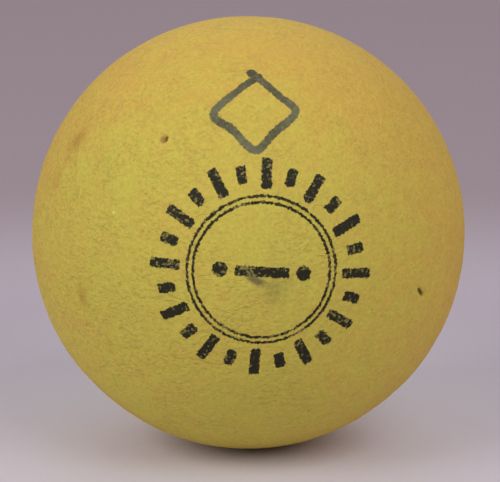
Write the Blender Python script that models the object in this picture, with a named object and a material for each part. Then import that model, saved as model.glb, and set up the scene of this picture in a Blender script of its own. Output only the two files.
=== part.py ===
"""Mini golf ball: a solid rubber core inside a cover of two moulded half-shells.

The ball's centre is the origin. The mould parting plane is XZ, so the two
half-shells are turned about the Y axis: the printed front half lies at -Y and
the back half at +Y. The front half carries a spigot lip that enters a rebate
in the back half, which is how the two halves find each other when they close.
"""

import math

import bmesh
import bpy

# Driving dimensions, in metres
BALL_DIAMETER = 0.038
COVER_WALL = 0.0024

# Stepped lap between the two halves of the cover
LIP_WIDTH = 0.0009
LIP_LENGTH = 0.0015
LAP_CLEARANCE = 0.0003

# Film of rubber cement between the core and the cover
BOND_LINE = 0.0003

# Straight sides to one full turn, a multiple of four so that the ball has its
# full diameter along X and Z
SIDES = 60

# Points closer than this are one point
MERGE_DISTANCE = 0.000001

# Edges that turn by more than this stay sharp in the shading
SHARP_ANGLE = math.radians(30)

# Colours of the two rubbers, as linear values, and how matte they are
COVER_COLOUR = (0.66, 0.47, 0.045)
COVER_ROUGHNESS = 0.7
CORE_COLOUR = (0.045, 0.035, 0.028)
CORE_ROUGHNESS = 0.75

ball_radius = BALL_DIAMETER / 2
cavity_radius = ball_radius - COVER_WALL
core_radius = cavity_radius - BOND_LINE
lip_radius = cavity_radius + LIP_WIDTH
rebate_radius = lip_radius + LAP_CLEARANCE
rebate_depth = LIP_LENGTH + LAP_CLEARANCE


def clear_scene():
    """Remove every object that the file opened with."""
    for old_object in list(bpy.data.objects):
        bpy.data.objects.remove(old_object, do_unlink=True)


def rubber(name, colour, roughness):
    """Return a Principled material for a non-metallic rubber."""
    material = bpy.data.materials.new(name)
    material.use_nodes = True
    shader = material.node_tree.nodes["Principled BSDF"]
    shader.inputs["Base Color"].default_value = (*colour, 1.0)
    shader.inputs["Roughness"].default_value = roughness
    shader.inputs["Metallic"].default_value = 0.0
    material.diffuse_color = (*colour, 1.0)
    return material


def arc(radius, start, end):
    """Return points on a circle about the centre as (distance from Y, height along Y).

    The angles are in radians from the front pole at -Y. The arc has about as
    many sides for its length as the full turn has, and exact ends on the axis.
    """
    steps = max(2, round(abs(end - start) / math.tau * SIDES))
    angles = [start + (end - start) * step / steps for step in range(steps + 1)]
    return [(radius * math.sin(angle), -radius * math.cos(angle)) for angle in angles]


def latitude(height, radius):
    """Return the angle from the front pole to a height along Y on a sphere."""
    return math.pi / 2 + math.asin(height / radius)


def turned_solid(name, profile, material, parent):
    """Spin an open profile about the Y axis into one closed, smooth shaded solid.

    The profile runs from the axis to the axis, so the full turn closes it.
    """
    shape = bmesh.new()
    points = [shape.verts.new((distance, height, 0.0)) for distance, height in profile]
    edges = [shape.edges.new(pair) for pair in zip(points, points[1:])]
    bmesh.ops.spin(
        shape,
        geom=points + edges,
        cent=(0.0, 0.0, 0.0),
        axis=(0.0, 1.0, 0.0),
        angle=math.tau,
        steps=SIDES,
        use_merge=True,
    )
    bmesh.ops.remove_doubles(shape, verts=shape.verts, dist=MERGE_DISTANCE)
    bmesh.ops.recalc_face_normals(shape, faces=shape.faces)
    mesh = bpy.data.meshes.new(name)
    shape.to_mesh(mesh)
    shape.free()
    mesh.shade_smooth()
    mesh.set_sharp_from_angle(angle=SHARP_ANGLE)
    mesh.materials.append(material)
    solid = bpy.data.objects.new(name, mesh)
    solid.parent = parent
    bpy.context.collection.objects.link(solid)
    return solid


def add_core(parent):
    """Solid inner ball, a bond line smaller than the cavity of the cover."""
    profile = arc(core_radius, 0.0, math.pi)
    material = rubber("core_rubber", CORE_COLOUR, CORE_ROUGHNESS)
    return turned_solid("core", profile, material, parent)


def add_cover_front(parent):
    """Front half-shell: outer dome, parting face, spigot lip, inner dome."""
    profile = arc(ball_radius, 0.0, math.pi / 2)
    profile.append((lip_radius, 0.0))
    profile.append((lip_radius, LIP_LENGTH))
    profile += arc(cavity_radius, latitude(LIP_LENGTH, cavity_radius), 0.0)
    material = rubber("cover_front_rubber", COVER_COLOUR, COVER_ROUGHNESS)
    return turned_solid("cover_front", profile, material, parent)


def add_cover_back(parent):
    """Back half-shell: outer dome, parting face, rebate for the lip, inner dome."""
    profile = arc(ball_radius, math.pi, math.pi / 2)
    profile.append((rebate_radius, 0.0))
    profile.append((rebate_radius, rebate_depth))
    profile += arc(cavity_radius, latitude(rebate_depth, cavity_radius), math.pi)
    material = rubber("cover_back_rubber", COVER_COLOUR, COVER_ROUGHNESS)
    return turned_solid("cover_back", profile, material, parent)


clear_scene()
ball = bpy.data.objects.new("mini_golf_ball", None)
bpy.context.collection.objects.link(ball)
add_core(ball)
add_cover_front(ball)
add_cover_back(ball)
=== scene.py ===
import math

import bpy
import numpy as np
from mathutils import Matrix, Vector


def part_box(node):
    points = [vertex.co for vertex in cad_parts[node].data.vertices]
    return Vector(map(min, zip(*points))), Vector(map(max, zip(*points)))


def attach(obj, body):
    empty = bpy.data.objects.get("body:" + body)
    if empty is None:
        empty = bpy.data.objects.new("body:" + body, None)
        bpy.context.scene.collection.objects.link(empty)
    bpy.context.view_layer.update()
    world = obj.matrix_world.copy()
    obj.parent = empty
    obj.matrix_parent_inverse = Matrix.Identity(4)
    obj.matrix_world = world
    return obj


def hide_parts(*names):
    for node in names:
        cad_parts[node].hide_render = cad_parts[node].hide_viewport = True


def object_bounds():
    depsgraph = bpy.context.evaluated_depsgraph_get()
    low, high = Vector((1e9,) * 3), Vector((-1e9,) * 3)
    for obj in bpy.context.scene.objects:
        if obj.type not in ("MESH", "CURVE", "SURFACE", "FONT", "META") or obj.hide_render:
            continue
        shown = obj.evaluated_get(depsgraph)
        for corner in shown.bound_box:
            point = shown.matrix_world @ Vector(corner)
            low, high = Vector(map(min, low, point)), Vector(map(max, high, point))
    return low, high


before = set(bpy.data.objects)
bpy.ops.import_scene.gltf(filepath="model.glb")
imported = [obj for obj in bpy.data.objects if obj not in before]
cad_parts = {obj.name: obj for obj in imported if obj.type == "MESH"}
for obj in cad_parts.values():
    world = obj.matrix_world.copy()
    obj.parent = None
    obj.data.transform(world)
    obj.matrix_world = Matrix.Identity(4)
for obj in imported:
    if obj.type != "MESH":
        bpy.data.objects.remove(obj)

cad_low, cad_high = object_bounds()


# The core
# A solid ball of dark, springy rubber, moulded and then buffed all over with a
# coarse wheel so that the cement bites. It fills the cover and carries it.

CORE_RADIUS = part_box("core")[1].z
CORE_AROUND = 144
CORE_RINGS = 71
SHARP_ANGLE = math.radians(50)

# What the buffing wheel cut into the shape, then the finer grooves and crumbs of its finish
BUFFING_PITCH = 0.0011
BUFFING_DEPTH = 0.000022
BUFFING_WAVES = 40
BUFFING_SEED = 11
GROOVE_SIZE = 0.0009
GROOVE_SQUEEZE = (1.0, 5.0, 1.0)
CRUMB_SIZE = 0.00035
CRUMB_SHARE = 0.4
BUFFED_STEP = 0.00006

# Levels of the grooves over which dust settles, and the roughness from bare rubber to crumbs
DUST_LEVELS = (0.42, 0.66)
BUFFED_ROUGHNESS = (0.72, 0.92)
CORE_DARK = (0.030, 0.024, 0.020, 1.0)
CORE_WORN = (0.075, 0.062, 0.052, 1.0)

# The flat map for a baked finish, and where the core's caps and rings lie up it
BAKE_MAP = "OFBake"
CORE_MAP_CAP = (0.04, 0.005)
CORE_MAP_RINGS = (0.05, 0.95)


def wave_grain(points, length, waves, seed):
    """Even grain of one size, as a height of about -2 to 2 at each point.

    It is the sum of plane cosine waves of that length, each running in its own
    random direction from its own random start, divided by their spread.
    """
    draw = np.random.default_rng(seed)
    ways = draw.normal(size=(waves, 3))
    ways /= np.linalg.norm(ways, axis=1, keepdims=True)
    starts = draw.uniform(0.0, math.tau, waves)
    phases = points @ ways.T * (math.tau / length) + starts
    return np.cos(phases).sum(axis=1) * math.sqrt(2.0 / waves)


def band_quads(rings):
    """Quads that join each ring of point numbers to the next one, as an array of fours."""
    after = np.roll(rings, -1, axis=1)
    return np.stack([after[:-1], rings[:-1], rings[1:], after[1:]], axis=-1).reshape(-1, 4)


def band_places(rings, low, high):
    """Map places of the corners of band_quads.

    Once round is u from 0 to 1, and ring by ring is v from low to high.
    """
    ring_count, around = rings.shape
    left = np.broadcast_to(np.arange(around) / around, (ring_count - 1, around))
    right = left + 1.0 / around
    rows = np.linspace(low, high, ring_count)[:, None]
    here = np.broadcast_to(rows[:-1], left.shape)
    following = np.broadcast_to(rows[1:], left.shape)
    u = np.stack([right, left, left, right], axis=-1)
    v = np.stack([here, here, following, following], axis=-1)
    return np.stack([u, v], axis=-1).reshape(-1, 4, 2)


def cap_triangles(ring, tip):
    """Triangles that close a ring of point numbers to one tip."""
    return np.stack([np.roll(ring, -1), ring, np.full_like(ring, tip)], axis=-1)


def cap_places(around, rim, tip):
    """Map places of the corners of cap_triangles, between two heights of v."""
    left = np.arange(around) / around
    u = np.stack([left + 1.0 / around, left, left + 0.5 / around], axis=-1)
    v = np.broadcast_to(np.array([rim, rim, tip]), u.shape)
    return np.stack([u, v], axis=-1)


def closed_piece(name, points, quads, quad_places, triangles, triangle_places, material):
    """Put arrays of points, faces and map places into one smooth shaded mesh object."""
    mesh = bpy.data.meshes.new(name)
    mesh.from_pydata(points, [], quads.tolist() + triangles.tolist())
    places = np.concatenate([quad_places.reshape(-1, 2), triangle_places.reshape(-1, 2)])
    bake_map = mesh.uv_layers.new(name=BAKE_MAP)
    bake_map.uv.foreach_set("vector", places.astype(np.float32).ravel())
    mesh.shade_smooth()
    mesh.set_sharp_from_angle(angle=SHARP_ANGLE)
    mesh.materials.append(material)
    piece = bpy.data.objects.new(name, mesh)
    bpy.context.scene.collection.objects.link(piece)
    return piece


def node(tree, kind, sockets=None, **settings):
    """Add a shader node, set its options, then give its sockets values or links."""
    made = tree.nodes.new(kind)
    for option, value in settings.items():
        setattr(made, option, value)
    for key, value in (sockets or {}).items():
        if isinstance(value, bpy.types.NodeSocket):
            tree.links.new(value, made.inputs[key])
        else:
            made.inputs[key].default_value = value
    return made


def maths(tree, operation, *values):
    """A Math node on one to three numbers or sockets."""
    return node(tree, "ShaderNodeMath", dict(enumerate(values)), operation=operation).outputs[0]


def ramp(tree, value, start, end, low=0.0, high=1.0):
    """A value eased from low at start to high at end."""
    sockets = {"Value": value, "From Min": start, "From Max": end, "To Min": low, "To Max": high}
    return node(tree, "ShaderNodeMapRange", sockets, interpolation_type="SMOOTHSTEP").outputs[0]


def mixed(tree, factor, first, second, blend="MIX"):
    """One colour laid over another by a factor.

    A Mix node takes the factor and two colours at sockets 0, 6 and 7, and gives socket 2.
    """
    sockets = {0: factor, 6: first, 7: second}
    options = {"data_type": "RGBA", "blend_type": blend}
    return node(tree, "ShaderNodeMix", sockets, **options).outputs[2]


def noise(tree, place, size, detail=2.0, roughness=0.5):
    """Soft noise from 0 to 1 whose lumps are about one size across, in metres."""
    sockets = {"Vector": place, "Scale": 1.0 / size, "Detail": detail, "Roughness": roughness}
    return node(tree, "ShaderNodeTexNoise", sockets).outputs["Fac"]


def new_material(name):
    """An empty node material, its tree, its Principled shader and the piece's own coordinates."""
    material = bpy.data.materials.new(name)
    material.use_nodes = True
    tree = material.node_tree
    shader = tree.nodes["Principled BSDF"]
    place = node(tree, "ShaderNodeTexCoord").outputs["Object"]
    return material, tree, shader, place


def bump(tree, height, distance):
    """A normal that follows a height, whose full step is a distance in metres."""
    sockets = {"Height": height, "Distance": distance, "Strength": 1.0}
    return node(tree, "ShaderNodeBump", sockets).outputs["Normal"]


def buffed_rubber():
    """Dark rubber with pale dust left in the grooves of the buffing wheel."""
    material, tree, shader, place = new_material("buffed_rubber")
    squeezed = node(tree, "ShaderNodeMapping", {"Vector": place, "Scale": GROOVE_SQUEEZE})
    grooves = noise(tree, squeezed.outputs[0], GROOVE_SIZE, 4.0, 0.7)
    crumbs = noise(tree, place, CRUMB_SIZE)
    dust = ramp(tree, grooves, *DUST_LEVELS)
    tree.links.new(mixed(tree, dust, CORE_DARK, CORE_WORN), shader.inputs["Base Color"])
    roughness = ramp(tree, crumbs, 0.2, 0.8, *BUFFED_ROUGHNESS)
    tree.links.new(roughness, shader.inputs["Roughness"])
    height = maths(tree, "MULTIPLY_ADD", crumbs, CRUMB_SHARE, grooves)
    tree.links.new(bump(tree, height, BUFFED_STEP), shader.inputs["Normal"])
    return material


def core_ball():
    """A sphere of rings from the front pole to the back one.

    The radius is the core's, less a buffed grain that only cuts into it.
    """
    tilt = np.linspace(0.0, math.pi, CORE_RINGS + 2)[1:-1, None]
    turn = np.arange(CORE_AROUND) / CORE_AROUND * math.tau
    x, y, z = np.broadcast_arrays(
        np.sin(tilt) * np.cos(turn), -np.cos(tilt), np.sin(tilt) * np.sin(turn)
    )
    poles = [[0.0, -1.0, 0.0], [0.0, 1.0, 0.0]]
    ways = np.concatenate([np.stack([x, y, z], axis=-1).reshape(-1, 3), poles])
    grain = wave_grain(ways * CORE_RADIUS, BUFFING_PITCH, BUFFING_WAVES, BUFFING_SEED)
    points = ways * (CORE_RADIUS - BUFFING_DEPTH * (1.0 + np.clip(grain, -1, 1)))[:, None]

    rings = np.arange(CORE_RINGS * CORE_AROUND).reshape(CORE_RINGS, CORE_AROUND)
    front_cap = cap_triangles(rings[0][::-1], rings.size)
    back_cap = cap_triangles(rings[-1], rings.size + 1)

    # The front cap counts backwards round, and the back one is a cap turned end for end
    cap = cap_places(CORE_AROUND, *CORE_MAP_CAP)
    front_places = cap[::-1] * (-1, 1) + (1, 0)
    back_places = 1.0 - cap
    return closed_piece(
        "core_ball",
        points,
        band_quads(rings),
        band_places(rings, *CORE_MAP_RINGS),
        np.concatenate([front_cap, back_cap]),
        np.concatenate([front_places, back_places]),
        buffed_rubber(),
    )


core = core_ball()
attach(core, "root")
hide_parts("core")


# The back half of the cover
# A half-shell of yellow rubber pressed in one side of a two-part mould and never
# lacquered. A rebate inside its rim takes the front half's lip, and both are
# cemented to the core. Play has left it slightly lumpy, pitted and scuffed.

BALL_RADIUS = cad_high.z
BOND_LINE = 0.0003
CAVITY_RADIUS = CORE_RADIUS + BOND_LINE
LIP_WIDTH = 0.0009
LIP_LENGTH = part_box("cover_front")[1].y
LIP_RADIUS = CAVITY_RADIUS + LIP_WIDTH
LAP_CLEARANCE = 0.0003
REBATE_RADIUS = LIP_RADIUS + LAP_CLEARANCE
REBATE_DEPTH = LIP_LENGTH + LAP_CLEARANCE

# Moulded unevenness, coarse to fine: wavelength, height and seed
UNEVENNESS = ((0.0095, 0.000014, 21), (0.0026, 0.000007, 22), (0.0011, 0.0000035, 23))
UNEVENNESS_WAVES = 48

# Knocks all over the ball: how many, least and greatest size, depth, dirt held
DENTS = (46, 0.0010, 0.0026, 0.000026, 0.0)
PITS = (70, 0.00016, 0.00034, 0.00006, 0.25)
WEAR_SEED = 38

# Scuffs, mostly on the back: how many, least and greatest reach, width as a share of it, dirt
SCUFFS = (14, 0.0014, 0.0034, 0.4, 0.5)
SCUFF_SPREAD = (1.0, 0.35, 1.0)
SCUFF_LEAN = (0.0, 0.6, 0.0)

# The groove left where the two halves meet
SEAM_DEPTH = 0.00007
SEAM_REACH = 0.00016
SEAM_DIRT = 0.4

DOME_STEPS = 280
INNER_RINGS = 9
DOME_MAP_TOP = 0.86
INNER_MAP = (0.88, 0.99)

# Keeps the point opposite a mark from dividing by nothing
LEAST_SPREAD = 0.000001


def dome_ways(steps):
    """A square grid carried onto a half sphere about -Y, as directions and map places.

    Each square ring of the grid becomes a round ring at an even tilt from the
    pole, and points run evenly along it, so the square's edge is the rim.
    """
    line = np.linspace(-1.0, 1.0, steps + 1)
    wide, tall = np.meshgrid(line, line)
    flat = np.abs(wide) >= np.abs(tall)
    longer = np.where(flat, wide, tall)
    shorter = np.where(flat, tall, wide)
    lean = shorter / np.where(longer == 0.0, 1.0, longer) * (math.pi / 4)
    turn = np.where(flat, lean, math.pi / 2 - lean)
    tilt = longer * (math.pi / 2)
    ways = np.stack(
        [np.sin(tilt) * np.cos(turn), -np.cos(tilt), np.sin(tilt) * np.sin(turn)], axis=-1
    )
    places = np.stack([(wide + 1.0) / 2.0, (tall + 1.0) / 2.0 * DOME_MAP_TOP], axis=-1)
    return ways.reshape(-1, 3), places.reshape(-1, 2)


def unit(vectors):
    """Vectors brought to length 1."""
    return vectors / np.linalg.norm(vectors, axis=-1, keepdims=True)


def local_places(ways, middle, turn=0.0):
    """Lengths right and up from a middle point, measured along the ball's surface.

    Each point keeps its true distance and direction from the middle, and turn
    swings both axes anticlockwise.
    """
    right = unit(np.cross((0.0, 0.0, 1.0), middle))
    up = np.cross(middle, right)
    angle = np.arccos(np.clip(ways @ middle, -1.0, 1.0))
    stretch = BALL_RADIUS / np.maximum(np.sinc(angle / math.pi), LEAST_SPREAD)
    across = ways @ right * stretch
    rise = ways @ up * stretch
    return (
        across * math.cos(turn) + rise * math.sin(turn),
        rise * math.cos(turn) - across * math.sin(turn),
    )


def all_over_wear(ways):
    """Height of the skin over the true sphere and dirt from 0 to 1, the same on both halves.

    Heights add up: wave grain of three sizes, then dents and pits as bell curves,
    then the seam's groove. Scuffs are long bells of dirt.
    """
    points = ways * BALL_RADIUS
    height = sum(
        size * wave_grain(points, length, UNEVENNESS_WAVES, seed)
        for length, size, seed in UNEVENNESS
    )

    draw = np.random.default_rng(WEAR_SEED)
    dirt = np.zeros(len(ways))
    for count, least, most, depth, soiling in (DENTS, PITS):
        middles = unit(draw.normal(size=(count, 3)))
        sizes = draw.uniform(least, most, count)
        for middle, size in zip(middles, sizes):
            away = np.linalg.norm(ways - middle, axis=1) * BALL_RADIUS
            bell = np.exp(-((away / size) ** 2))
            height -= depth * bell
            dirt += soiling * bell

    count, least, most, slimness, soiling = SCUFFS
    middles = unit(draw.normal(size=(count, 3)) * SCUFF_SPREAD + SCUFF_LEAN)
    reaches = draw.uniform(least, most, count)
    turns = draw.uniform(0.0, math.pi, count)
    for middle, reach, turn in zip(middles, reaches, turns):
        across, rise = local_places(ways, middle, turn)
        dirt += soiling * np.exp(-((across / reach) ** 2) - (rise / (slimness * reach)) ** 2)

    from_seam = np.abs(np.arcsin(np.clip(ways[:, 1], -1.0, 1.0))) * BALL_RADIUS
    groove = np.exp(-((from_seam / SEAM_REACH) ** 2))
    return {"height": height - SEAM_DEPTH * groove, "dirt": dirt + SEAM_DIRT * groove}


def half_shell(name, side, rim_profile, material, layers):
    """One half of the cover as a closed shell: worn outer dome, rim, and inner dome.

    side is -1 for the front half and 1 for the back, which is the same dome
    turned half way round Z. rim_profile lists the rings of the rim and lap as
    distance from Y and height along Y, and the inner dome follows them. Each
    layer gives values by name for the dome's points, and like names add up.
    """
    ways, places = dome_ways(DOME_STEPS)
    ways[:, :2] *= -side
    surface = {}
    for layer in layers:
        for mark, values in layer(ways).items():
            surface[mark] = surface.get(mark, 0.0) + values
    outer = ways * (BALL_RADIUS + surface.pop("height"))[:, None]

    grid = np.arange((DOME_STEPS + 1) ** 2).reshape(DOME_STEPS + 1, -1)
    dome_quads = np.stack(
        [grid[:-1, :-1], grid[:-1, 1:], grid[1:, 1:], grid[1:, :-1]], axis=-1
    ).reshape(-1, 4)
    rim = np.concatenate([grid[0, :-1], grid[:-1, -1], grid[-1, :0:-1], grid[:0:-1, 0]])

    last_distance, last_height = rim_profile[-1]
    last_tilt = math.atan2(last_distance, last_height * side)
    tilts = last_tilt * np.linspace(1.0, 0.0, INNER_RINGS + 1)[1:-1]
    inner_dome = np.stack([np.sin(tilts), np.cos(tilts) * side], axis=-1) * CAVITY_RADIUS
    distances, heights = np.concatenate([rim_profile, inner_dome]).T
    inner = unit(ways[rim] * (1.0, 0.0, 1.0)) * distances[:, None, None]
    inner[..., 1] = heights[:, None]
    tip = np.array([[0.0, CAVITY_RADIUS * side, 0.0]])
    points = np.concatenate([outer, inner.reshape(-1, 3), tip])

    inner_numbers = grid.size + np.arange(distances.size * rim.size).reshape(-1, rim.size)
    rings = np.concatenate([rim[None], inner_numbers])
    low, high = INNER_MAP
    piece = closed_piece(
        name,
        points,
        np.concatenate([dome_quads, band_quads(rings)]),
        np.concatenate([places[dome_quads], band_places(rings, low, high)]),
        cap_triangles(rings[-1], len(points) - 1),
        cap_places(len(rim), high, 1.0),
        material,
    )
    for mark, values in surface.items():
        everywhere = np.zeros(len(points), np.float32)
        everywhere[: len(values)] = values
        store = piece.data.attributes.new(mark, "FLOAT", "POINT")
        store.data.foreach_set("value", everywhere)
    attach(piece, "root")
    return piece


YELLOW_WARM = (0.690, 0.445, 0.085, 1.0)
YELLOW_GREEN = (0.612, 0.525, 0.083, 1.0)
# Brown of creases and pores: partly dirt, partly painted shade of these hollows
PORE_DIRT_AND_SHADE = (0.230, 0.150, 0.040, 1.0)
SMUDGE_BROWN = (0.380, 0.148, 0.032, 1.0)
SKIN_SPECULAR = 0.22

# How fast the yellow turns greener along X, towards both poles of Y, and along Z, the tint that
# this gives at its two ends, and the tint either way at which one yellow stands alone
GREENER_WAY = (-0.22, 0.93, -0.28)
TINT_LEAN = (-0.42, 0.44)
TINT_SPAN = 0.65

# Sizes of the skin's patches and marks, large to small, and the full step of its relief
TINT_PATCH = 0.0090
AGED_PATCH = 0.0034
FOLD_SIZE = 0.0022
MOTTLE_SIZE = 0.0016
CREASE_SIZE = 0.00085
PORE_PITCH = 0.00085
PEBBLE_SIZE = 0.00062
FOLD_RUN = 0.00050
SPECKLE_SIZE = 0.00050
CREASE_RUN = 0.00042
FURROW_SIZE = 0.00040
GRAIN_SIZE = 0.00027
SKIN_STEP = 0.000032

# Creases run longer along X than up Z, and the skin has aged more at -X
CREASE_SQUEEZE = (0.9, 1.0, 1.4)
AGED_LEAN = -0.22

# How far lines reach from the middle of their noise, and the share of them on young and aged skin
CREASE_REACH = 0.165
FOLD_REACH = 0.060
FOLD_STRENGTH = 1.3
AGED_SHARE = (0.30, 1.0)

SKIN_ROUGHNESS = (0.68, 0.84)
SOIL_SPECKLE = 0.7
SOIL_COVER = 0.62


def broken_lines(tree, place, size, width, run):
    """Short lines where soft noise of one size crosses its middle, broken by a second noise."""
    wander = noise(tree, place, size, 0.4)
    from_line = maths(tree, "ABSOLUTE", maths(tree, "SUBTRACT", wander, 0.5))
    shown = ramp(tree, noise(tree, place, run, 1.0), 0.46, 0.64)
    return maths(tree, "MULTIPLY", ramp(tree, from_line, 0.0, width, 1.0, 0.0), shown)


def skin_group():
    """Node group for the moulded skin: mottled colour, roughness and a fine height.

    A lean towards both poles, broad noise and fine noise drift the colour between
    two yellows, and pebbling and grain shade it. Broken creases, furrows and folds,
    strongest in aged patches, and round pores darken it and sink the height; their
    darkening is partly dirt and partly painted shade of the hollows.
    """
    group = bpy.data.node_groups.new("moulded_skin", "ShaderNodeTree")
    for name in ("Warm", "Green", "Dirt_and_shade"):
        group.interface.new_socket(name=name, in_out="INPUT", socket_type="NodeSocketColor")
    group.interface.new_socket(name="Colour", in_out="OUTPUT", socket_type="NodeSocketColor")
    for name in ("Roughness", "Height"):
        group.interface.new_socket(name=name, in_out="OUTPUT", socket_type="NodeSocketFloat")
    given = node(group, "NodeGroupInput").outputs
    place = node(group, "ShaderNodeTexCoord").outputs["Object"]
    x, y, z = node(group, "ShaderNodeSeparateXYZ", {0: place}).outputs

    drift = noise(group, place, TINT_PATCH, 1.0)
    mottle = noise(group, place, MOTTLE_SIZE, 3.0, 0.6)
    pebble = noise(group, place, PEBBLE_SIZE, 2.0, 0.55)
    grain = noise(group, place, GRAIN_SIZE, 2.0, 0.6)

    lean = maths(group, "MULTIPLY", x, GREENER_WAY[0])
    lean = maths(group, "MULTIPLY_ADD", maths(group, "ABSOLUTE", y), GREENER_WAY[1], lean)
    lean = maths(group, "MULTIPLY_ADD", z, GREENER_WAY[2], lean)
    tint = ramp(group, lean, 0.05 * BALL_RADIUS, BALL_RADIUS, *TINT_LEAN)
    for spots, weight in ((drift, 0.7), (mottle, 1.3), (grain, 0.8)):
        tint = maths(group, "MULTIPLY_ADD", maths(group, "SUBTRACT", spots, 0.5), weight, tint)
    greener = ramp(group, tint, -TINT_SPAN, TINT_SPAN)
    colour = mixed(group, greener, given["Warm"], given["Green"])

    shade = 0.68
    for spots, weight in ((mottle, 0.12), (pebble, 0.18), (grain, 0.36)):
        shade = maths(group, "MULTIPLY_ADD", spots, weight, shade)
    shade = node(group, "ShaderNodeCombineColor", {0: shade, 1: shade, 2: shade}).outputs[0]
    colour = mixed(group, 1.0, colour, shade, "MULTIPLY")

    squeezed = node(group, "ShaderNodeMapping", {"Vector": place, "Scale": CREASE_SQUEEZE}).outputs[0]
    crease = broken_lines(group, squeezed, CREASE_SIZE, CREASE_REACH, CREASE_RUN)
    furrow = ramp(group, noise(group, squeezed, FURROW_SIZE, 1.0), 0.28, 0.46, 1.0, 0.0)
    crease = maths(group, "MAXIMUM", crease, furrow)
    fold = broken_lines(group, squeezed, FOLD_SIZE, FOLD_REACH, FOLD_RUN)
    crease = maths(group, "MAXIMUM", crease, maths(group, "MULTIPLY", fold, FOLD_STRENGTH))
    aged = noise(group, place, AGED_PATCH, 1.0)
    aged = maths(group, "MULTIPLY_ADD", x, AGED_LEAN / BALL_RADIUS, aged)
    crease = maths(group, "MULTIPLY", crease, ramp(group, aged, 0.34, 0.70, *AGED_SHARE))

    cells = node(group, "ShaderNodeTexVoronoi", {"Vector": place, "Scale": 1.0 / PORE_PITCH}).outputs
    chosen = node(group, "ShaderNodeSeparateColor", {0: cells["Color"]}).outputs[0]
    pore = ramp(group, cells["Distance"], 0.08, 0.22, 1.0, 0.0)
    pore = maths(group, "MULTIPLY", pore, ramp(group, chosen, 0.45, 1.0))
    # Creases and pores are mixed towards that brown, partly dirt and partly painted shade of the
    # hollows
    for marks, weight in ((crease, 0.14), (pore, 0.20)):
        colour = mixed(group, maths(group, "MULTIPLY", marks, weight), colour, given["Dirt_and_shade"])

    height = grain
    for marks, weight in ((pebble, 2.6), (crease, -1.1), (pore, -0.6), (mottle, 0.8)):
        height = maths(group, "MULTIPLY_ADD", marks, weight, height)
    roughness = ramp(group, mottle, 0.25, 0.75, *SKIN_ROUGHNESS)
    node(group, "NodeGroupOutput", {"Colour": colour, "Roughness": roughness, "Height": height})
    return group


SKIN = skin_group()


def attribute(tree, name):
    """A value kept on the mesh's points."""
    return node(tree, "ShaderNodeAttribute", attribute_name=name).outputs["Fac"]


def skin_nodes(tree, place):
    """The skin with its smudges on top, as colour, roughness and height."""
    skin = node(
        tree,
        "ShaderNodeGroup",
        node_tree=SKIN,
        sockets={"Warm": YELLOW_WARM, "Green": YELLOW_GREEN, "Dirt_and_shade": PORE_DIRT_AND_SHADE},
    )
    speckle = maths(tree, "SUBTRACT", noise(tree, place, SPECKLE_SIZE, 3.0, 0.65), 0.5)
    soiled = maths(tree, "MULTIPLY_ADD", speckle, SOIL_SPECKLE, attribute(tree, "dirt"))
    soiled = ramp(tree, soiled, 0.12, 1.05, 0.0, SOIL_COVER)
    colour = mixed(tree, soiled, skin.outputs["Colour"], SMUDGE_BROWN)
    return colour, skin.outputs["Roughness"], skin.outputs["Height"]


def back_rubber():
    """The skin alone, with no print."""
    material, tree, shader, place = new_material("cover_back_rubber")
    colour, roughness, height = skin_nodes(tree, place)
    tree.links.new(colour, shader.inputs["Base Color"])
    tree.links.new(roughness, shader.inputs["Roughness"])
    tree.links.new(bump(tree, height, SKIN_STEP), shader.inputs["Normal"])
    shader.inputs["Specular IOR Level"].default_value = SKIN_SPECULAR
    return material


rebate_end = math.sqrt(CAVITY_RADIUS**2 - REBATE_DEPTH**2)
rebate = [(REBATE_RADIUS, 0.0), (REBATE_RADIUS, REBATE_DEPTH), (rebate_end, REBATE_DEPTH)]
back_cover = half_shell("back_cover", 1, rebate, back_rubber(), [all_over_wear])
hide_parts("cover_back")


# The front half of the cover
# The matching half-shell with the spigot lip. Its pole carries a black pad
# print, a plain dial of bars round an aiming line, worn to a speckle by play.
# Above it is a diamond drawn by hand with a fine felt pen.

# Where the photograph's eye stands, and the ball's outline in its frame in pixels
VIEW_RISE = math.radians(11.0)
VIEW_DISTANCE = 0.20
PHOTO_MIDDLE = (248.4, 232.3)
PHOTO_BALL_RADIUS = 216.3
VIEW_RIGHT = np.array([1.0, 0.0, 0.0])
VIEW_UP = np.array([0.0, math.sin(VIEW_RISE), math.cos(VIEW_RISE)])
VIEW_BACK = np.array([0.0, -math.cos(VIEW_RISE), math.sin(VIEW_RISE)])
PIXELS_PER_SLOPE = PHOTO_BALL_RADIUS * math.sqrt(VIEW_DISTANCE**2 - BALL_RADIUS**2) / BALL_RADIUS

# Smudges: place in the frame, reach across and up in metres, turn in degrees, strength
SMUDGES = {
    "upper_left_rub": (77, 140, 0.0015, 0.0011, 55, 0.66),
    "upper_left_haze": (66, 160, 0.0030, 0.0015, 70, 0.18),
    "left_rub": (57, 182, 0.0012, 0.0008, 80, 0.40),
    "lower_left_rub": (83, 297, 0.0013, 0.0009, 112, 0.72),
    "lower_mark": (277, 305, 0.0006, 0.0004, 20, 0.35),
}

# Ink dragged off the print, and two faint greenish-grey darkenings over the face, given in the same
# way
SMEARS = {
    "aim_line_drag": (255, 280, 0.0008, 0.00028, -26, 1.10),
    "grey_haze": (277, 288, 0.0018, 0.0013, 60, 0.32),
    "face_haze": (256, 268, 0.0090, 0.0090, 0, 0.16),
}

# A round pit with one dark side
PIT_PIXEL = (164, 139)
PIT_DARK_PIXEL = (166.4, 138.6)
PIT_RADIUS = 0.00036
PIT_DEPTH = 0.00018

# A nick with a lip beside it, whose place is in half widths of the slit
NICK_PIXEL = (421, 292)
NICK_HALF_LENGTH = 0.00060
NICK_HALF_WIDTH = 0.00017
NICK_DEPTH = 0.00022
NICK_LIP = 0.00007
NICK_LIP_PLACE = 2.2
NICK_TURN = math.radians(-45)

# A speck of lint
LINT_PIXEL = (113.4, 212.5)
LINT_RADIUS = 0.00013

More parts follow.
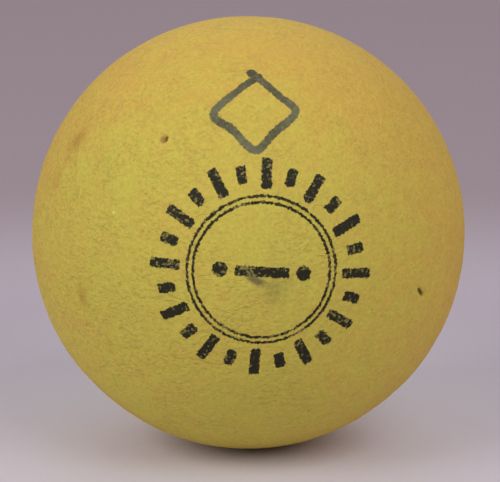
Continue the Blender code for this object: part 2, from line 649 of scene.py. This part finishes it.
# The print: a dial of long and short bars, two thin rules, and an aiming bar between dots
PRINT_PIXEL = (262, 272)
PRINT_TURN = math.radians(-3.7)
DIAL_RADIUS = 0.0080
DIAL_BARS = 24
BAR_HALF_WIDTH = 0.00043
LONG_BAR_HALF = 0.00130
SHORT_BAR_HALF = 0.00075
BAR_CORNER = 0.00012
RULE_RADII = (0.0056, 0.0061)
RULE_HALF_WIDTH = 0.00011
AIM_HALF_LENGTH = 0.0022
AIM_HALF_WIDTH = 0.00042
AIM_DOT_PLACE = 0.0034
AIM_DOT_RADIUS = 0.00062
MILLIMETRE = 0.001

# The pen's line, as points right and up from its middle in the order they were drawn
PEN_PIXEL = (254, 111)
PEN_POINTS = (
    (0.0004, 0.0036), (-0.0013, 0.0021), (-0.0033, -0.0001), (-0.0018, -0.0017),
    (0.0000, -0.0036), (0.0016, -0.0020), (0.0034, 0.0001), (0.0020, 0.0017), (-0.0001, 0.0041),
)
PEN_STEPS = 12
PEN_REACH = 0.007
PEN_HALF_WIDTH = 0.00038

# Shares of the line where ink pooled as the pen was set down and lifted, and the second pool's size
PEN_SET_DOWN = 0.03
PEN_LIFT = 0.025
PEN_LIFT_POOL = 0.8

# Width and wetness along the line: level, gain in a pool, size and pace of a slow waver
PEN_WIDTHS = (0.92, 0.30, 0.05, 41.0)
PEN_WETNESS = (0.35, 1.00, 0.25, 23.0)


def ball_way(pixel):
    """Direction from the ball's centre to the point of its surface seen at a pixel.

    The line of sight through the pixel meets the sphere nearest the eye.
    """
    across = (pixel[0] - PHOTO_MIDDLE[0]) / PIXELS_PER_SLOPE
    rise = (PHOTO_MIDDLE[1] - pixel[1]) / PIXELS_PER_SLOPE
    sight = unit(VIEW_RIGHT * across + VIEW_UP * rise - VIEW_BACK)
    eye = VIEW_BACK * VIEW_DISTANCE
    towards = -eye @ sight
    reach = towards - math.sqrt(towards**2 - VIEW_DISTANCE**2 + BALL_RADIUS**2)
    return (eye + sight * reach) / BALL_RADIUS


def rubbed(ways, marks):
    """Marks rubbed on, as a sum of long bells, each turned and of its own strength."""
    total = np.zeros(len(ways))
    for column, row, wide, tall, turn, strength in marks.values():
        across, rise = local_places(ways, ball_way((column, row)), math.radians(turn))
        total += strength * np.exp(-((across / wide) ** 2) - (rise / tall) ** 2)
    return total


def front_wear(ways):
    """The front's own scars: heights, with dirt, dragged ink and faint darkenings, and the nick's cut
    from 0 to 1.

    The pit is a flat-bottomed bell, and the nick is a slit with a lip pushed up
    beside it.
    """
    across, rise = local_places(ways, ball_way(PIT_PIXEL))
    pit = np.exp(-((np.hypot(across, rise) / PIT_RADIUS) ** 4))

    across, rise = local_places(ways, ball_way(NICK_PIXEL), NICK_TURN)
    length = np.exp(-((across / NICK_HALF_LENGTH) ** 4))
    slit = length * np.exp(-((rise / NICK_HALF_WIDTH) ** 2))
    lip = length * np.exp(-((rise / NICK_HALF_WIDTH - NICK_LIP_PLACE) ** 2))

    return {
        "height": NICK_LIP * lip - NICK_DEPTH * slit - PIT_DEPTH * pit,
        "dirt": rubbed(ways, SMUDGES),
        "smear": rubbed(ways, SMEARS),
        "cut": slit,
    }


def box_edge(across, rise, half_width, half_height, corner):
    """Distance outside a rectangle with rounded corners, negative inside it."""
    side = np.abs(across) - half_width + corner
    end = np.abs(rise) - half_height + corner
    outside = np.hypot(np.maximum(side, 0.0), np.maximum(end, 0.0))
    return outside + np.minimum(np.maximum(side, end), 0.0) - corner


def closeness(distance):
    """1 at the edge of an ink, more inside it, and 0 from a millimetre outside."""
    return np.maximum(1.0 - distance / MILLIMETRE, 0.0)


def pad_print(ways):
    """Closeness to the bars of the print, and distance from its middle for its round rules.

    The dial folds every bar onto one by taking the angle within its pitch, and
    every second bar is short. An aiming bar lies across the middle between dots.
    """
    across, rise = local_places(ways, ball_way(PRINT_PIXEL), PRINT_TURN)
    away = np.hypot(across, rise)
    pitch = math.tau / DIAL_BARS
    count = np.arctan2(across, rise) / pitch
    within = (count - np.round(count)) * pitch
    half = np.where(np.round(count) % 2 == 0, LONG_BAR_HALF, SHORT_BAR_HALF)
    along = away * np.cos(within) - DIAL_RADIUS
    bars = box_edge(away * np.sin(within), along, BAR_HALF_WIDTH, half, BAR_CORNER)
    aim = box_edge(across, rise, AIM_HALF_LENGTH, AIM_HALF_WIDTH, BAR_CORNER)
    dots = np.hypot(np.abs(across) - AIM_DOT_PLACE, rise) - AIM_DOT_RADIUS
    return {"print": closeness(np.minimum.reduce([bars, aim, dots])), "from_print": away}


def pen_line():
    """Points along the drawn line: a smooth curve through the chosen points.

    Between two points the curve is a cubic whose slopes come from the points
    before and after them.
    """
    given = np.array(PEN_POINTS)
    start, end = given[:-1], given[1:]
    before = np.concatenate([given[:1], given[:-2]])
    beyond = np.concatenate([given[2:], given[-1:]])
    share = np.linspace(0.0, 1.0, PEN_STEPS, endpoint=False)[:, None, None]
    curve = 0.5 * (
        2 * start
        + (end - before) * share
        + (2 * before - 5 * start + 4 * end - beyond) * share**2
        + (3 * start - before - 3 * end + beyond) * share**3
    )
    return np.concatenate([curve.transpose(1, 0, 2).reshape(-1, 2), given[-1:]])


def wavering(travelled, pooled, level, gain, size, pace):
    """A value along the drawn line: a level, a gain in its pools and a sine waver."""
    return level + gain * pooled + size * np.sin(travelled * pace)


def pen_mark(ways):
    """Closeness to the drawn line, and how wet the pen left it.

    The distance is the least one to any short piece of the line, less a half
    width that wavers, and swells in bells where the pen was set down and lifted.
    """
    across, rise = local_places(ways, ball_way(PEN_PIXEL))
    near = np.hypot(across, rise) < PEN_REACH
    line = pen_line()
    start, run = line[:-1], np.diff(line, axis=0)
    offset = np.stack([across, rise], axis=-1)[near][:, None, :] - start
    along = np.clip((offset * run).sum(-1) / (run**2).sum(-1), 0.0, 1.0)
    gaps = np.linalg.norm(offset - along[..., None] * run, axis=-1)
    nearest = gaps.argmin(axis=1)
    travelled = (nearest + along[np.arange(len(nearest)), nearest]) / len(run)
    pooled = np.exp(-((travelled / PEN_SET_DOWN) ** 2))
    pooled += PEN_LIFT_POOL * np.exp(-(((1.0 - travelled) / PEN_LIFT) ** 2))
    half = PEN_HALF_WIDTH * wavering(travelled, pooled, *PEN_WIDTHS)
    pen = np.zeros(len(ways))
    wet = np.zeros(len(ways))
    pen[near] = closeness(gaps.min(axis=1) - half)
    wet[near] = np.clip(wavering(travelled, pooled, *PEN_WETNESS), 0.0, 1.0)
    return {"pen": pen, "wet": wet}


PIT_FLOOR = (0.390, 0.230, 0.062, 1.0)
PIT_WALL = (0.165, 0.090, 0.014, 1.0)
# Dark brown of the nick's slit: partly its own colour, partly painted shade of its depth
CUT_SHADE = (0.140, 0.088, 0.008, 1.0)
LINT_WHITE = (0.840, 0.760, 0.220, 1.0)
INK_BLACK = (0.021, 0.020, 0.007, 1.0)
INK_THIN = (0.120, 0.108, 0.055, 1.0)
PEN_DRY = (0.155, 0.156, 0.092, 1.0)
PEN_WET = (0.064, 0.066, 0.044, 1.0)

# Sizes of the print's worn patches, the pen's flow, the specks in both inks and their ragged edges
WORN_PATCH = 0.0028
FLOW_SIZE = 0.00045
SPECK_SIZE = 0.00030
RAGGED_SIZE = 0.00024

# How ragged each edge is, and the closeness over which each ink fades in
PIT_RAGGED = 0.9
CUT_RAGGED = 0.4
PEN_RAGGED = 0.34
PRINT_RAGGED = 0.45
PEN_EDGE = (0.945, 1.055)
PRINT_EDGE = (0.96, 1.04)

# How much each ink hides, the levels under which specks of print are gone, and how soft that is
SMEAR_COVER = 0.82
PEN_COVER = 0.96
THIN_COVER = 0.72
WORN_LEVELS = (0.31, 0.46)
WORN_SOFTNESS = 0.08

# What the solid print adds to the skin's roughness and height
PRINT_ROUGHNESS = -0.14
PRINT_HEIGHT = 0.5


def away_from(tree, place, pixel, reach):
    """Distance from the surface's point at a pixel, as a multiple of a reach."""
    sockets = {0: place, 1: ball_way(pixel) * BALL_RADIUS}
    distance = node(tree, "ShaderNodeVectorMath", sockets, operation="DISTANCE").outputs["Value"]
    return maths(tree, "DIVIDE", distance, reach)


def printed_rubber():
    """The skin with scars, then the felt pen, then the black print laid over it.

    Ragged noise moves the edge of each ink. The print also breaks into specks
    where fine noise falls under a level that drifts over the face.
    """
    material, tree, shader, place = new_material("cover_front_rubber")
    colour, roughness, height = skin_nodes(tree, place)
    ragged = maths(tree, "SUBTRACT", noise(tree, place, RAGGED_SIZE, 3.0, 0.6), 0.5)
    specks = noise(tree, place, SPECK_SIZE, 2.0, 0.6)

    from_pit = away_from(tree, place, PIT_PIXEL, PIT_RADIUS)
    from_pit = maths(tree, "MULTIPLY_ADD", ragged, PIT_RAGGED, from_pit)
    from_dark = away_from(tree, place, PIT_DARK_PIXEL, PIT_RADIUS)
    from_dark = maths(tree, "MULTIPLY_ADD", ragged, PIT_RAGGED, from_dark)
    pit_colour = mixed(tree, ramp(tree, from_dark, 0.35, 1.00), PIT_WALL, PIT_FLOOR)
    colour = mixed(tree, ramp(tree, from_pit, 0.65, 1.30, 1.0, 0.0), colour, pit_colour)
    # The slit is painted dark: partly its own colour, partly painted shade of its depth
    slit = maths(tree, "MULTIPLY_ADD", ragged, CUT_RAGGED, attribute(tree, "cut"))
    colour = mixed(tree, ramp(tree, slit, 0.20, 0.65), colour, CUT_SHADE)
    from_lint = away_from(tree, place, LINT_PIXEL, LINT_RADIUS)
    colour = mixed(tree, ramp(tree, from_lint, 0.6, 1.3, 1.0, 0.0), colour, LINT_WHITE)

    uneven = maths(tree, "SUBTRACT", specks, 0.5)
    smear = maths(tree, "MULTIPLY_ADD", uneven, 0.5, attribute(tree, "smear"))
    colour = mixed(tree, ramp(tree, smear, 0.08, 1.0, 0.0, SMEAR_COVER), colour, INK_THIN)

    pen = maths(tree, "MULTIPLY_ADD", ragged, PEN_RAGGED, attribute(tree, "pen"))
    drawn = ramp(tree, pen, *PEN_EDGE, 0.0, PEN_COVER)
    drawn = maths(tree, "MULTIPLY", drawn, ramp(tree, specks, 0.26, 0.50, 0.84, 1.0))
    flow = noise(tree, place, FLOW_SIZE, 4.0, 0.7)
    flow = maths(tree, "MULTIPLY_ADD", flow, 1.6, attribute(tree, "wet"))
    pen_colour = mixed(tree, ramp(tree, flow, 0.75, 1.75), PEN_DRY, PEN_WET)
    colour = mixed(tree, drawn, colour, pen_colour)

    black = attribute(tree, "print")
    away = attribute(tree, "from_print")
    for radius in RULE_RADII:
        gap = maths(tree, "ABSOLUTE", maths(tree, "SUBTRACT", away, radius))
        gap = maths(tree, "SUBTRACT", gap, RULE_HALF_WIDTH)
        rule = maths(tree, "MULTIPLY_ADD", gap, -1.0 / MILLIMETRE, 1.0)
        black = maths(tree, "MAXIMUM", black, rule)
    black = maths(tree, "MULTIPLY_ADD", ragged, PRINT_RAGGED, black)
    inked = ramp(tree, black, *PRINT_EDGE)
    worn_level = ramp(tree, noise(tree, place, WORN_PATCH, 1.0), 0.3, 0.7, *WORN_LEVELS)
    over = maths(tree, "SUBTRACT", specks, worn_level)
    kept = ramp(tree, over, -WORN_SOFTNESS, WORN_SOFTNESS)
    solid = maths(tree, "MULTIPLY", inked, kept)
    colour = mixed(tree, maths(tree, "MULTIPLY", inked, THIN_COVER), colour, INK_THIN)
    colour = mixed(tree, solid, colour, INK_BLACK)

    roughness = maths(tree, "MULTIPLY_ADD", solid, PRINT_ROUGHNESS, roughness)
    height = maths(tree, "MULTIPLY_ADD", solid, PRINT_HEIGHT, height)
    tree.links.new(colour, shader.inputs["Base Color"])
    tree.links.new(roughness, shader.inputs["Roughness"])
    tree.links.new(bump(tree, height, SKIN_STEP), shader.inputs["Normal"])
    shader.inputs["Specular IOR Level"].default_value = SKIN_SPECULAR
    return material


lip_end = math.sqrt(CAVITY_RADIUS**2 - LIP_LENGTH**2)
lip = [(LIP_RADIUS, 0.0), (LIP_RADIUS, LIP_LENGTH), (lip_end, LIP_LENGTH)]
front_layers = [all_over_wear, front_wear, pad_print, pen_mark]
front_cover = half_shell("front_cover", -1, lip, printed_rubber(), front_layers)
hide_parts("cover_front")


# The floor
# A plain sweep of matt paper under the ball, pale near it and a little deeper in
# tone away from it, that turns gently up on every side.

FLOOR_Z = cad_low.z
FLOOR_MIDDLE = 0.02
FLOOR_FLAT = 0.5
FLOOR_BEND = 1.2
FLOOR_CLIMB = math.radians(42)
FLOOR_RINGS = 24
CLIMB_RINGS = 12
FLOOR_AROUND = 96

# Tones by distance from the ball, as shares of a reach
FLOOR_REACH = 0.20
FLOOR_TONES = (
    (0.00, (0.740, 0.690, 0.780, 1.0)),
    (0.32, (0.530, 0.455, 0.530, 1.0)),
    (0.70, (0.400, 0.310, 0.350, 1.0)),
)
FLOOR_ROUGHNESS = 0.9
FLOOR_SPECULAR = 0.2


def floor_paper():
    """Matt paper whose tone follows the distance from the ball."""
    material, tree, shader, place = new_material("floor_paper")
    sockets = {0: place, 1: (1.0, 1.0, 0.0)}
    level = node(tree, "ShaderNodeVectorMath", sockets, operation="MULTIPLY").outputs["Vector"]
    away = node(tree, "ShaderNodeVectorMath", {0: level}, operation="LENGTH").outputs["Value"]
    tones = node(tree, "ShaderNodeValToRGB", {0: maths(tree, "DIVIDE", away, FLOOR_REACH)})
    tones.color_ramp.interpolation = "EASE"
    tones.color_ramp.elements.new(0.5)
    for stop, (share, colour) in zip(tones.color_ramp.elements, FLOOR_TONES):
        stop.position = share
        stop.color = colour
    tree.links.new(tones.outputs[0], shader.inputs["Base Color"])
    shader.inputs["Roughness"].default_value = FLOOR_ROUGHNESS
    shader.inputs["Specular IOR Level"].default_value = FLOOR_SPECULAR
    return material


def floor_sweep():
    """A disc of rings whose outer rings climb part of a circle."""
    flat = np.linspace(FLOOR_MIDDLE, FLOOR_FLAT, FLOOR_RINGS)
    climb = np.linspace(0.0, FLOOR_CLIMB, CLIMB_RINGS + 1)[1:]
    distances = np.concatenate([flat, FLOOR_FLAT + FLOOR_BEND * np.sin(climb)])
    rises = np.concatenate([np.zeros(FLOOR_RINGS), FLOOR_BEND * (1.0 - np.cos(climb))])
    turn = np.arange(FLOOR_AROUND) / FLOOR_AROUND * math.tau
    circle = np.stack([np.cos(turn), np.sin(turn), np.zeros(FLOOR_AROUND)], axis=-1)
    rings = circle * distances[:, None, None]
    rings[..., 2] = FLOOR_Z + rises[:, None]
    points = np.concatenate([rings.reshape(-1, 3), [[0.0, 0.0, FLOOR_Z]]])
    numbers = np.arange(len(points) - 1).reshape(-1, FLOOR_AROUND)
    quads = band_quads(numbers)[:, ::-1]
    middle = cap_triangles(numbers[0], len(points) - 1)
    mesh = bpy.data.meshes.new("floor_sweep")
    mesh.from_pydata(points, [], quads.tolist() + middle.tolist())
    mesh.shade_smooth()
    mesh.materials.append(floor_paper())
    sweep = bpy.data.objects.new("floor_sweep", mesh)
    bpy.context.scene.collection.objects.link(sweep)
    return sweep


floor_sweep()


# Light
# Three broad soft lamps, two in front and a weaker one behind, in an even white
# surround.

LAMP_DISTANCE = 0.78
LAMP_SIZE = 0.50
SURROUND_STRENGTH = 0.41


def soft_lamp(name, around, rise, power):
    """A square lamp aimed at the ball, at degrees round from the front and up from level."""
    around, rise = math.radians(around), math.radians(rise)
    out = math.cos(rise)
    way = Vector((out * math.sin(around), -out * math.cos(around), math.sin(rise)))
    lamp = bpy.data.lights.new(name, "AREA")
    lamp.shape = "SQUARE"
    lamp.size = LAMP_SIZE
    lamp.energy = power
    holder = bpy.data.objects.new(name, lamp)
    holder.location = way * LAMP_DISTANCE
    holder.visible_camera = False
    holder.rotation_euler = way.to_track_quat("Z", "Y").to_euler()
    bpy.context.scene.collection.objects.link(holder)


soft_lamp("left_lamp", -55, 30, 2.55)
soft_lamp("right_lamp", 40, 40, 2.07)
soft_lamp("back_lamp", 180, 35, 0.60)
world = bpy.data.worlds.new("surround")
world.use_nodes = True
surround = world.node_tree.nodes["Background"]
surround.inputs["Color"].default_value = (1.0, 1.0, 1.0, 1.0)
surround.inputs["Strength"].default_value = SURROUND_STRENGTH
bpy.context.scene.world = world


# Camera
# At the photograph's height and distance, with the ball's outline where the
# photograph has it.

PHOTO_SIZE = (500, 482)
SENSOR_WIDTH = 36.0
NEAR_CLIP = 0.01
lens = bpy.data.cameras.new("camera")
lens.sensor_width = SENSOR_WIDTH
lens.lens = SENSOR_WIDTH * PIXELS_PER_SLOPE / PHOTO_SIZE[0]
lens.shift_x = (PHOTO_SIZE[0] / 2 - PHOTO_MIDDLE[0]) / PHOTO_SIZE[0]
lens.shift_y = (PHOTO_MIDDLE[1] - PHOTO_SIZE[1] / 2) / PHOTO_SIZE[0]
lens.clip_start = NEAR_CLIP
camera = bpy.data.objects.new("camera", lens)
camera.location = Vector(VIEW_BACK * VIEW_DISTANCE)
camera.rotation_euler = Vector(VIEW_BACK).to_track_quat("Z", "Y").to_euler()
bpy.context.scene.collection.objects.link(camera)
bpy.context.scene.camera = camera
bpy.context.scene.view_settings.view_transform = "Standard"
